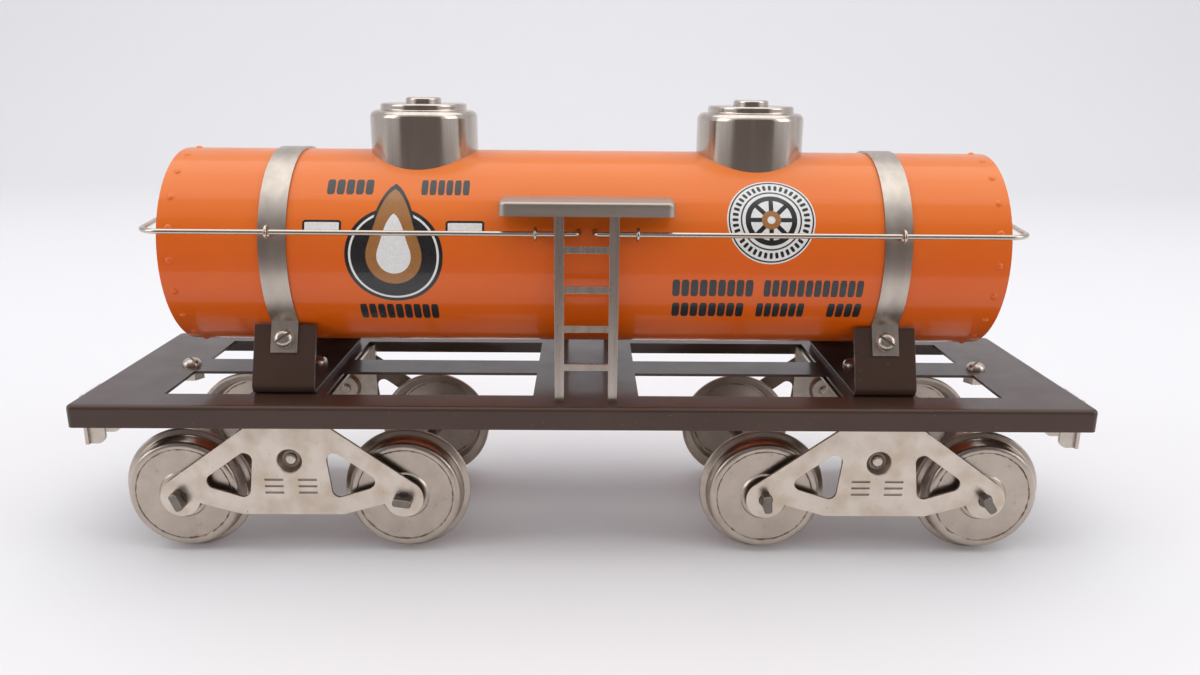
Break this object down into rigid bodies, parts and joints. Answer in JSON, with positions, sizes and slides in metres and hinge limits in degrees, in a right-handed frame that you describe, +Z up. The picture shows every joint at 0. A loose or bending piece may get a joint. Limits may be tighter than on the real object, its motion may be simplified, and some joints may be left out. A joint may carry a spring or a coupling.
{
  "type": "model tank wagon",
  "caption": "Toy railway tank wagon: a tube tank with domes, straps, handrails and ladders on an open pressed deck, carried on swivelling trucks with turning wheels.",
  "frame": {"origin": "middle of the wagon, on the plane the wheel flanges stand on", "axes": "+X along the wagon, +Y across it towards the back, +Z up"},
  "size_m": [0.3072, 0.0762, 0.1272],
  "materials": {
    "orange_enamel": "gloss",
    "brown_enamel": "semi-gloss",
    "bright_nickel": "polished nickel plate",
    "dull_nickel": "satin nickel plate",
    "wheel_nickel": "satin nickel plate, lightly stained",
    "steel_fasteners": "satin"
  },
  "bodies": {
    "root": {"coupler_nuts": "steel_fasteners", "coupler_screws": "steel_fasteners", "deck_frame": "brown_enamel", "dome_left": "bright_nickel", "dome_nuts": "steel_fasteners", "dome_right": "bright_nickel", "dome_studs": "bright_nickel", "handrail_eyes": "bright_nickel", "handrail_left": "bright_nickel", "handrail_right": "bright_nickel", "ladder_back": "bright_nickel", "ladder_front": "bright_nickel", "platform_back": "bright_nickel", "platform_front": "bright_nickel", "saddle_left": "brown_enamel", "saddle_right": "brown_enamel", "strap_left": "bright_nickel", "strap_nuts": "steel_fasteners", "strap_right": "bright_nickel", "strap_screws": "steel_fasteners", "tank_head_left": "orange_enamel", "tank_head_right": "orange_enamel", "tank_shell": "orange_enamel", "truck_pivot_nuts": "steel_fasteners", "truck_pivot_screws": "steel_fasteners", "truck_pivot_washers": "steel_fasteners"},
    "truck_left": {"bolster_left": "dull_nickel", "frame_rivets_left": "steel_fasteners", "side_frame_left_front": "dull_nickel", "side_frame_left_back": "dull_nickel"},
    "body_axle_left_outer": {"axle_left_outer": "dull_nickel"},
    "wheel_left_outer_front": {"tyre_left_outer_front": "wheel_nickel", "disc_left_outer_front": "wheel_nickel"},
    "wheel_left_outer_back": {"tyre_left_outer_back": "wheel_nickel", "disc_left_outer_back": "wheel_nickel"},
    "body_axle_left_inner": {"axle_left_inner": "dull_nickel"},
    "wheel_left_inner_front": {"tyre_left_inner_front": "wheel_nickel", "disc_left_inner_front": "wheel_nickel"},
    "wheel_left_inner_back": {"tyre_left_inner_back": "wheel_nickel", "disc_left_inner_back": "wheel_nickel"},
    "drawbar_left": {"coupler_left": "dull_nickel"},
    "truck_right": {"bolster_right": "dull_nickel", "frame_rivets_right": "steel_fasteners", "side_frame_right_front": "dull_nickel", "side_frame_right_back": "dull_nickel"},
    "body_axle_right_outer": {"axle_right_outer": "dull_nickel"},
    "wheel_right_outer_front": {"tyre_right_outer_front": "wheel_nickel", "disc_right_outer_front": "wheel_nickel"},
    "wheel_right_outer_back": {"tyre_right_outer_back": "wheel_nickel", "disc_right_outer_back": "wheel_nickel"},
    "body_axle_right_inner": {"axle_right_inner": "dull_nickel"},
    "wheel_right_inner_front": {"tyre_right_inner_front": "wheel_nickel", "disc_right_inner_front": "wheel_nickel"},
    "wheel_right_inner_back": {"tyre_right_inner_back": "wheel_nickel", "disc_right_inner_back": "wheel_nickel"},
    "drawbar_right": {"coupler_right": "dull_nickel"}
  },
  "joints": [
    {"name": "truck_left_swivel", "type": "hinge", "parent": "root", "child": "truck_left", "pos_m": [-0.0825, 0, 0.0448], "axis": [0, 0, 1], "range_deg": [-15, 15]},
    {"name": "axle_left_outer_spin", "type": "hinge", "parent": "truck_left", "child": "body_axle_left_outer", "pos_m": [-0.1138, 0, 0.018], "axis": [0, 1, 0], "continuous": true},
    {"name": "wheel_left_outer_front_spin", "type": "hinge", "parent": "body_axle_left_outer", "child": "wheel_left_outer_front", "pos_m": [-0.1138, -0.0286, 0.018], "axis": [0, 1, 0], "continuous": true},
    {"name": "wheel_left_outer_back_spin", "type": "hinge", "parent": "body_axle_left_outer", "child": "wheel_left_outer_back", "pos_m": [-0.1138, 0.0286, 0.018], "axis": [0, 1, 0], "continuous": true},
    {"name": "axle_left_inner_spin", "type": "hinge", "parent": "truck_left", "child": "body_axle_left_inner", "pos_m": [-0.0512, 0, 0.018], "axis": [0, 1, 0], "continuous": true},
    {"name": "wheel_left_inner_front_spin", "type": "hinge", "parent": "body_axle_left_inner", "child": "wheel_left_inner_front", "pos_m": [-0.0512, -0.0286, 0.018], "axis": [0, 1, 0], "continuous": true},
    {"name": "wheel_left_inner_back_spin", "type": "hinge", "parent": "body_axle_left_inner", "child": "wheel_left_inner_back", "pos_m": [-0.0512, 0.0286, 0.018], "axis": [0, 1, 0], "continuous": true},
    {"name": "drawbar_left_swing", "type": "hinge", "parent": "root", "child": "drawbar_left", "pos_m": [-0.1212, 0, 0.0453], "axis": [0, 0, 1], "range_deg": [-15, 15]},
    {"name": "truck_right_swivel", "type": "hinge", "parent": "root", "child": "truck_right", "pos_m": [0.0825, 0, 0.0448], "axis": [0, 0, 1], "range_deg": [-15, 15]},
    {"name": "axle_right_outer_spin", "type": "hinge", "parent": "truck_right", "child": "body_axle_right_outer", "pos_m": [0.1138, 0, 0.018], "axis": [0, 1, 0], "continuous": true},
    {"name": "wheel_right_outer_front_spin", "type": "hinge", "parent": "body_axle_right_outer", "child": "wheel_right_outer_front", "pos_m": [0.1138, -0.0286, 0.018], "axis": [0, 1, 0], "continuous": true},
    {"name": "wheel_right_outer_back_spin", "type": "hinge", "parent": "body_axle_right_outer", "child": "wheel_right_outer_back", "pos_m": [0.1138, 0.0286, 0.018], "axis": [0, 1, 0], "continuous": true},
    {"name": "axle_right_inner_spin", "type": "hinge", "parent": "truck_right", "child": "body_axle_right_inner", "pos_m": [0.0512, 0, 0.018], "axis": [0, 1, 0], "continuous": true},
    {"name": "wheel_right_inner_front_spin", "type": "hinge", "parent": "body_axle_right_inner", "child": "wheel_right_inner_front", "pos_m": [0.0512, -0.0286, 0.018], "axis": [0, 1, 0], "continuous": true},
    {"name": "wheel_right_inner_back_spin", "type": "hinge", "parent": "body_axle_right_inner", "child": "wheel_right_inner_back", "pos_m": [0.0512, 0.0286, 0.018], "axis": [0, 1, 0], "continuous": true},
    {"name": "drawbar_right_swing", "type": "hinge", "parent": "root", "child": "drawbar_right", "pos_m": [0.1212, 0, 0.0453], "axis": [0, 0, 1], "range_deg": [-15, 15]}
  ]
}
